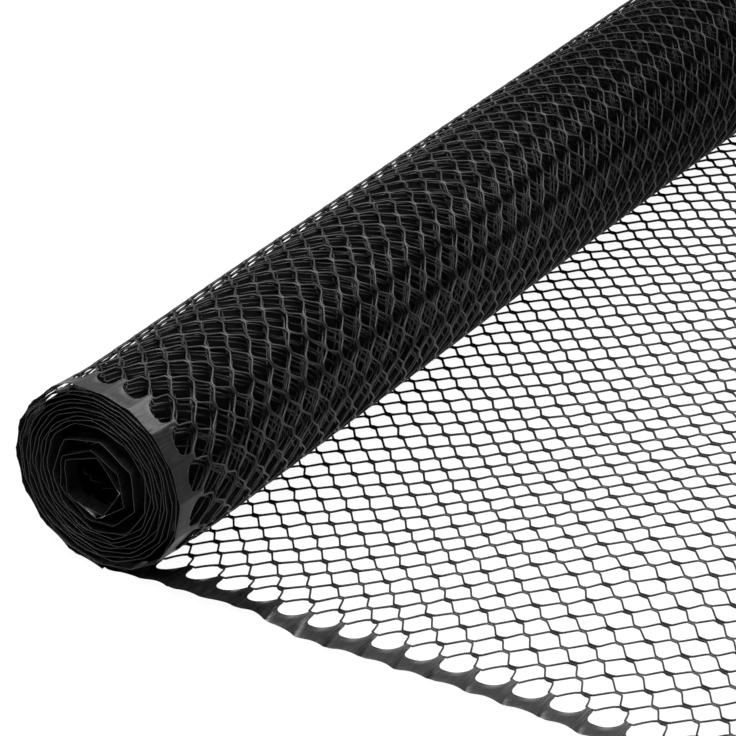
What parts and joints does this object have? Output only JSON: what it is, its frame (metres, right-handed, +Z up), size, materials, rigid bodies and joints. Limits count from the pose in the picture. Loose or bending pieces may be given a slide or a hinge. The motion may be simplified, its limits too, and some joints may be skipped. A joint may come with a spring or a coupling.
{
  "type": "roll of poultry netting",
  "caption": "Roll of black plastic honeycomb poultry netting with film edges, lying on its side, hollow in the middle, its loose end pulled out flat on the floor.",
  "frame": {"origin": "on the floor, midway along the roll and midway between the back of the roll and the cut end of the netting", "axes": "+X along the roll, -Y towards the cut end of the loose netting, +Z up from the floor"},
  "size_m": [0.9, 0.5012, 0.142],
  "materials": {
    "netting": "black extruded polyethylene, satin strands and slightly shinier film edges"
  },
  "bodies": {
    "root": {"wound_roll": "netting", "loose_end": "netting"}
  },
  "joints": []
}
